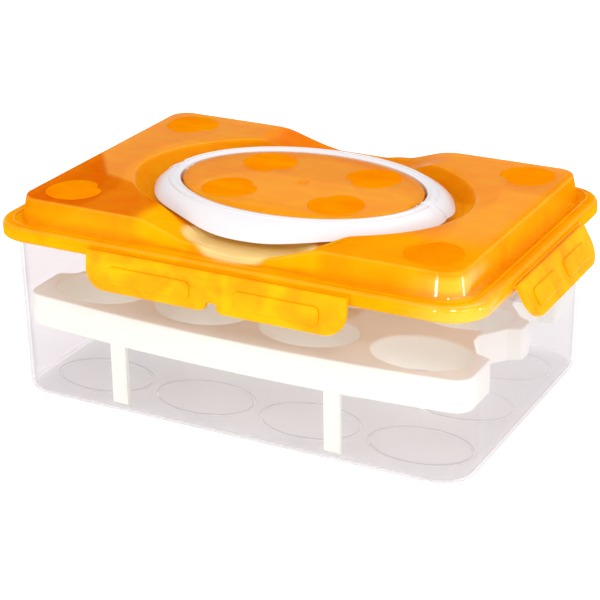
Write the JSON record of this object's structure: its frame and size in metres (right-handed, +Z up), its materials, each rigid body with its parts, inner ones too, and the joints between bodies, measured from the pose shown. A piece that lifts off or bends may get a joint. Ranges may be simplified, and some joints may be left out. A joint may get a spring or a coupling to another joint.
{
  "type": "egg keeper box",
  "caption": "Lidded two-layer egg box with a lift-out egg tray on legs, four hinged side latches and two folding half-ring carry handles.",
  "frame": {"origin": "centre of the tub's flat underside", "axes": "+Z up, +X along the long side, -Y towards the front"},
  "size_m": [0.2622, 0.1768, 0.0999],
  "materials": {
    "tub": "clear injection-moulded plastic, gloss",
    "tray": "white injection-moulded plastic, satin",
    "lid": "amber translucent injection-moulded plastic, gloss",
    "latch": "amber translucent injection-moulded plastic, gloss",
    "handle": "white injection-moulded plastic, gloss"
  },
  "bodies": {
    "tub": {"base_tub": "tub"},
    "tray": {"egg_tray": "tray"},
    "lid": {"lid": "lid"},
    "handle_front": {"handle_front": "handle"},
    "handle_back": {"handle_back": "handle"},
    "latch_front": {"latch_front": "latch"},
    "latch_back": {"latch_back": "latch"},
    "latch_left": {"latch_left": "latch"},
    "latch_right": {"latch_right": "latch"}
  },
  "joints": [
    {"name": "lid_lift", "type": "slide", "parent": "tub", "child": "lid", "axis": [0, 0, 1], "range_m": [0, 0.15]},
    {"name": "tray_lift", "type": "slide", "parent": "tub", "child": "tray", "axis": [0, 0, 1], "range_m": [0, 0.032]},
    {"name": "handle_front_fold", "type": "hinge", "parent": "lid", "child": "handle_front", "pos_m": [0, -0.0026, 0.0975], "axis": [-1, 0, 0], "range_deg": [0, 90]},
    {"name": "handle_back_fold", "type": "hinge", "parent": "lid", "child": "handle_back", "pos_m": [0, 0.0026, 0.0975], "axis": [1, 0, 0], "range_deg": [0, 90]},
    {"name": "latch_front_hinge", "type": "hinge", "parent": "lid", "child": "latch_front", "pos_m": [0, -0.08465, 0.0844], "axis": [-1, 0, 0], "range_deg": [-8, 100]},
    {"name": "latch_back_hinge", "type": "hinge", "parent": "lid", "child": "latch_back", "pos_m": [0, 0.08465, 0.0844], "axis": [1, 0, 0], "range_deg": [-8, 100]},
    {"name": "latch_left_hinge", "type": "hinge", "parent": "lid", "child": "latch_left", "pos_m": [-0.12465, 0, 0.0844], "axis": [0, 1, 0], "range_deg": [-8, 100]},
    {"name": "latch_right_hinge", "type": "hinge", "parent": "lid", "child": "latch_right", "pos_m": [0.12465, 0, 0.0844], "axis": [0, -1, 0], "range_deg": [-29, 79]}
  ]
}
